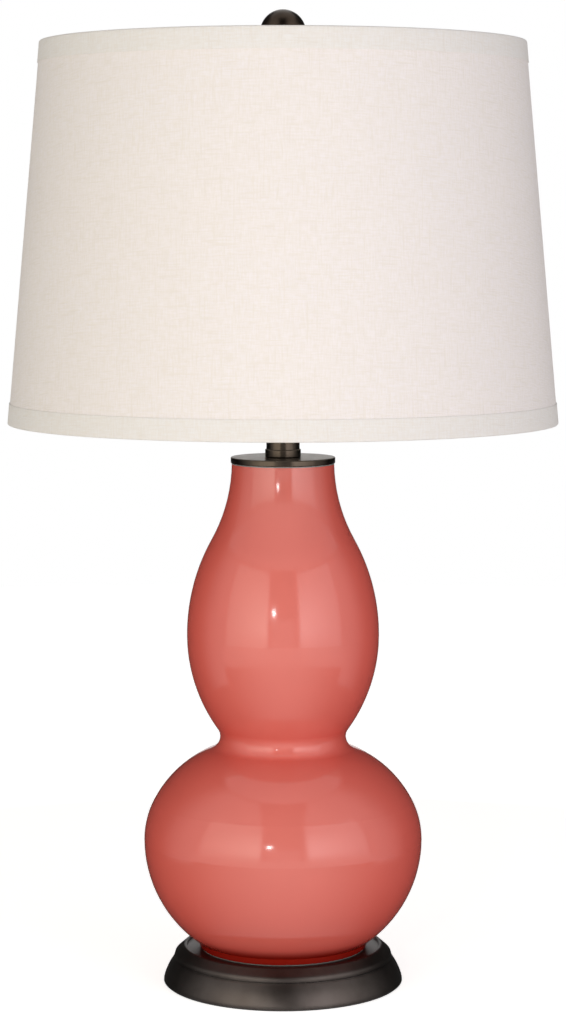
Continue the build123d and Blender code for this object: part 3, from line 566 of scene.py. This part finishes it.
def seen_directly(tree):
    """1 for rays from the camera, a mirror or through glass, which see the white background."""
    path = add(tree, "ShaderNodeLightPath")
    bounced = add(
        tree,
        "ShaderNodeMath",
        {0: path.outputs["Is Glossy Ray"], 1: path.outputs["Is Transmission Ray"]},
        operation="MAXIMUM",
    )
    return add(
        tree,
        "ShaderNodeMath",
        {0: bounced.outputs[0], 1: path.outputs["Is Camera Ray"]},
        operation="MAXIMUM",
    ).outputs[0]


# %% [markdown]
# The table is matt and pale. Rays that see it directly find it brighter, so that it runs out into
# the white room, while its light on the lamp stays real.

# %% Table
TABLE_RADIUS = 2.4
TABLE_DROP = 0.3 * MM  # keeps the table's face apart from the felt's
TABLE_GLOW = 0.73  # added for rays that see the table directly, 1 being white
material, tree, shader = begin("table_pale")
shader.inputs["Base Color"].default_value = linear("E8E6E2")
shader.inputs["Roughness"].default_value = 0.7
shader.inputs["Emission Color"].default_value = linear("FFFFFF")
glow = add(
    tree, "ShaderNodeMath", {0: seen_directly(tree), 1: TABLE_GLOW}, operation="MULTIPLY"
)
wire(tree, shader, Emission_Strength=glow.outputs[0])
mesh = bmesh.new()
table_height = Matrix.Translation((0, 0, -TABLE_DROP))
bmesh.ops.create_circle(
    mesh, cap_ends=True, segments=128, radius=TABLE_RADIUS, matrix=table_height
)
table = stage_piece("table_top", mesh, material)
print(table.name, "radius:", TABLE_RADIUS, "m")

# %% [markdown]
# The room is white where it is seen directly. For all other rays it is dim, so that the soft lights
# shape the lamp and the room only fills its shadows.

# %% Room
ROOM_LIGHT = 0.27
world = bpy.data.worlds.new("studio")
bpy.context.scene.world = world
world.use_nodes = True
tree = world.node_tree
strength = add(
    tree,
    "ShaderNodeMapRange",
    {"Value": seen_directly(tree), "To Min": ROOM_LIGHT, "To Max": 1.0},
)
tree.links.new(strength.outputs[0], tree.nodes["Background"].inputs["Strength"])
tree.nodes["Background"].inputs["Color"].default_value = linear("FFFFFF")
print("room light:", ROOM_LIGHT)

# %% [markdown]
# A dark drape hangs behind the camera and over it, and fills the gap between the soft lights.
# Velvet screens stand beside the lamp and behind it, and a velvet mat lies round its foot. Screens
# and mat are grey towards the front and black towards the back, so that the red glass deepens
# evenly towards its rims. Each is a short line swept round an axis, which a bmesh spin does. Black
# velvet gives back next to no light, so its grey is a faint glow that is set by the bearing.

# %% Sweep a line, and velvet
def swept(section, centre, axis, degrees_from, degrees_to):
    """A thin surface: the section's points are joined, turned to the start and swept to the end."""
    mesh = bmesh.new()
    points = [mesh.verts.new(point) for point in section]
    lines = [mesh.edges.new(pair) for pair in zip(points, points[1:])]
    turn = Matrix.Rotation(math.radians(degrees_from), 3, axis)
    bmesh.ops.rotate(mesh, cent=centre, matrix=turn, verts=points)
    bmesh.ops.spin(
        mesh,
        geom=points + lines,
        cent=centre,
        axis=axis,
        angle=math.radians(degrees_to - degrees_from),
        steps=48,
        use_merge=False,
    )
    return mesh


def velvet(name, bright_at=0, dark_at=0, brightness=0):
    """Black velvet, which looks brighter towards the front; bearings are in degrees."""
    material, tree, shader = begin(name)
    shader.inputs["Base Color"].default_value = linear("1A1A1A")
    shader.inputs["Roughness"].default_value = 0.9
    shader.inputs["Emission Color"].default_value = linear("FFFFFF")
    if brightness:
        place = add(tree, "ShaderNodeTexCoord")
        spot = add(tree, "ShaderNodeSeparateXYZ", {0: place.outputs["Object"]})
        side = add(tree, "ShaderNodeMath", {0: spot.outputs[0]}, operation="ABSOLUTE")
        front = add(
            tree, "ShaderNodeMath", {0: spot.outputs[1], 1: -1.0}, operation="MULTIPLY"
        )
        bearing = add(
            tree, "ShaderNodeMath", {0: side.outputs[0], 1: front.outputs[0]}, operation="ARCTAN2"
        )
        lit = add(
            tree,
            "ShaderNodeMapRange",
            {
                "Value": bearing.outputs[0],
                "From Min": math.radians(bright_at),
                "From Max": math.radians(dark_at),
                "To Min": brightness,
                "To Max": 0.02,
            },
            interpolation_type="SMOOTHSTEP",
        )
        wire(tree, shader, Emission_Strength=lit.outputs[0])
    return material


side_velvet = velvet("velvet_sides", 72, 112, 1.0)
print(side_velvet.name, "nodes:", len(side_velvet.node_tree.nodes))

# %% Drape, screens and mat
DRAPE_REACH, DRAPE_HALF, DRAPE_HEIGHT = 2.9, 0.85, 0.2
SIDE_REACH, SIDE_HEIGHT = 0.45, 1.2
MAT_INNER, MAT_OUTER = 0.06, 0.7
CLEAR = 0.5 * MM  # screens and mat stay this far above the level that the lamp stands on
upward, leftward = Vector((0, 0, 1)), Vector((-1, 0, 0))
axle = (0, 0, DRAPE_HEIGHT)
drape_line = [
    (-DRAPE_HALF, -DRAPE_REACH, DRAPE_HEIGHT), (DRAPE_HALF, -DRAPE_REACH, DRAPE_HEIGHT)
]
side_line = [(0, -SIDE_REACH, CLEAR), (0, -SIDE_REACH, SIDE_HEIGHT)]
mat_line = [(0, -MAT_INNER, CLEAR), (0, -MAT_OUTER, CLEAR)]
# the last two numbers of each sweep are degrees, from the camera's side
for name, mesh, material in (
    ("drape", swept(drape_line, axle, leftward, -25, 78), velvet("velvet_drape")),
    ("screen_right", swept(side_line, (0, 0, 0), upward, 72, 165), side_velvet),
    ("screen_left", swept(side_line, (0, 0, 0), upward, -72, -165), side_velvet),
    (
        "table_mat",
        swept(mat_line, (0, 0, 0), upward, -175, 175),
        velvet("velvet_mat", 5, 80, 0.9),
    ),
):
    piece = stage_piece(name, mesh, material, reflected_only=True)
    print(piece.name, "faces:", len(piece.data.polygons))

# %% [markdown]
# From below, the shade is a dark hole, and it would show in the upper bulb as a dark cap. A card in
# the shade's mouth glows white for reflections only, a painted reflection that covers that cap. It
# is left open at the back, so that it doesn't whiten the metal cap, which reflects the shade's far
# side.

# %% Card in the shade
CARD_INNER, CARD_GAP = 20 * MM, 4 * MM
reflection_card, tree, shader = begin("card_glowing_painted_reflection")
shader.inputs["Base Color"].default_value = linear("1A1A1A")
shader.inputs["Emission Color"].default_value = linear("FFFFFF")
# the card's glow: a painted reflection, seen by reflections only
shader.inputs["Emission Strength"].default_value = 1.0
under_rim = low_rim.z + 2 * MM
card_line = [(0, -CARD_INNER, under_rim), (0, -low_top.x + CARD_GAP, under_rim)]
card_mesh = swept(card_line, (0, 0, 0), upward, -105, 105)
stage_piece("glowing_card_in_shade", card_mesh, reflection_card, reflected_only=True)

# %% [markdown]
# ## Lights
# A soft light's power is worked out from how bright its face should look. In Blender an area lamp's
# face has the brightness power / (pi x area). A lamp is placed by its bearing, because reflections
# on a round vase go by bearing too.

# %% Area lamps
def lamp_object(name, shape, size, brightness, place, aim):
    """An area lamp whose face has this brightness, 1 being white."""
    lamp = bpy.data.lights.new(name, "AREA")
    lamp.shape = shape
    lamp.size, lamp.size_y = size
    face = size[0] * size[1] * (1 if shape == "RECTANGLE" else math.pi / 4)
    lamp.energy = brightness * math.pi * face
    obj = bpy.data.objects.new(name, lamp)
    bpy.context.scene.collection.objects.link(obj)
    obj.location = place
    obj.rotation_euler = (Vector(aim) - obj.location).to_track_quat("-Z", "Y").to_euler()
    return lamp


def around(bearing, distance, height):
    """A place round the lamp; bearing 0 is the camera's side, and +90 is to its right."""
    angle = math.radians(bearing)
    return (distance * math.sin(angle), -distance * math.cos(angle), height)


print("a place to the camera's right:", [round(v, 2) for v in around(90, 1, 0)])

# %% [markdown]
# A real soft light is brightest in front of its bulb and fades towards its rims, so a small node
# tree on the lamp fades it. Parametric runs from 0 to 1 across its face, and Position gives the
# height. Here the bulbs sit near the camera's side, a little above the table.

# %% Fade a soft light
BULB_HEIGHT = 0.3  # the face is brightest at this height
FADE_TOP = 1.4  # and plain white from here up, and from the table down
EDGE_SHARE = 0.05  # share of the width over which the inner edge comes up from black


def faded(lamp, inner_side, colour, brightness):
    """Fades a soft light to white; inner_side is 0 or 1, the end of its face next to the camera."""
    lamp.use_nodes = True
    tree = lamp.node_tree
    face = add(tree, "ShaderNodeNewGeometry")
    spot = add(tree, "ShaderNodeSeparateXYZ", {0: face.outputs["Parametric"]})
    outward = add(
        tree,
        "ShaderNodeMapRange",
        {
            "Value": spot.outputs[0],
            "From Min": inner_side,
            "From Max": 1 - inner_side,
            "To Min": 1.0,
            "To Max": 0.0,
        },
    )
    edge = add(
        tree,
        "ShaderNodeMapRange",
        {
            "Value": spot.outputs[0],
            "From Min": inner_side,
            "From Max": abs(inner_side - EDGE_SHARE),
        },
        interpolation_type="SMOOTHSTEP",
    )
    height = add(tree, "ShaderNodeSeparateXYZ", {0: face.outputs["Position"]}).outputs[2]
    shares = []
    for low, high, at_low, at_high in (
        (BULB_HEIGHT, FADE_TOP, 1.0, 0.0),  # above the bulb
        (0.0, BULB_HEIGHT, 0.0, 1.0),  # below it
    ):
        sockets = {"Value": height, "From Min": low, "From Max": high}
        sockets.update({"To Min": at_low, "To Max": at_high})
        ramp = add(tree, "ShaderNodeMapRange", sockets, interpolation_type="SMOOTHSTEP")
        shares.append(ramp.outputs[0])
    upright = add(tree, "ShaderNodeMath", {0: shares[0], 1: shares[1]}, operation="MULTIPLY")
    bright = add(
        tree, "ShaderNodeMath", {0: outward.outputs[0], 1: upright.outputs[0]}, operation="MULTIPLY"
    )
    level = add(
        tree,
        "ShaderNodeMapRange",
        {"Value": bright.outputs[0], "To Min": 1 / brightness, "To Max": 1.0},
    )
    strength = add(
        tree, "ShaderNodeMath", {0: level.outputs[0], 1: edge.outputs[0]}, operation="MULTIPLY"
    )
    emission = tree.nodes["Emission"]
    emission.inputs["Color"].default_value = linear(colour)
    tree.links.new(strength.outputs[0], emission.inputs["Strength"])


print("soft lights are brightest at", BULB_HEIGHT, "m")

# %% [markdown]
# The left light is slightly warm and the right one slightly cool and stronger, as the shade shows.
# A weak light in front, just before the drape, fills the gap on the lower bulb. A small bare lamp
# makes the glints on the glass.

# %% Lamps of the studio
SOFT_SIZE = (1.55, 2.5)
SOFT_DISTANCE = 1.55
SOFT_HEIGHT = 0.15
FRONT_DISTANCE = 2.86
FRONT_HEIGHT = 0.35
for name, bearing, brightness, inner_side, colour in (
    ("soft_left", -43.5, 3.45, 1, "FFF9EA"),
    ("soft_right", 45.5, 3.65, 0, "FFFBFC"),
):
    lamp = lamp_object(
        name,
        "RECTANGLE",
        SOFT_SIZE,
        brightness,
        around(bearing, SOFT_DISTANCE, SOFT_HEIGHT),
        (0, 0, SOFT_HEIGHT),
    )
    faded(lamp, inner_side, colour, brightness)
lamp_object(
    "soft_front",
    "RECTANGLE",
    (1.45, 1.3),
    0.8,
    around(0, FRONT_DISTANCE, FRONT_HEIGHT),
    (0, 0, FRONT_HEIGHT),
)
lamp_object("bare_lamp", "DISK", (0.16, 0.16), 90, around(-11, 2.75, 0.85), (0, 0, 0.3))

# %% [markdown]
# ## Camera
# The lamp is seen from 2.1 m with a long lens, a little from above the middle of the vase. The lens
# follows from the picture: 2834 px of focal length on a picture 1024 px high.

# %% Camera
PICTURE_HEIGHT = 1024
FOCAL_PIXELS = 2833.8
CAMERA_PLACE = (0, -2.0952, 0.5637)
LOOK_DOWN = 5.695  # degrees below level
view = bpy.data.cameras.new("camera")
view.sensor_width = 36.0
view.lens = FOCAL_PIXELS / PICTURE_HEIGHT * view.sensor_width
camera = bpy.data.objects.new("camera", view)
bpy.context.scene.collection.objects.link(camera)
camera.location = CAMERA_PLACE
camera.rotation_euler = (math.radians(90 - LOOK_DOWN), 0, 0)
bpy.context.scene.camera = camera
bpy.context.scene.view_settings.view_transform = "Standard"
print("lens:", round(view.lens, 2), "mm")
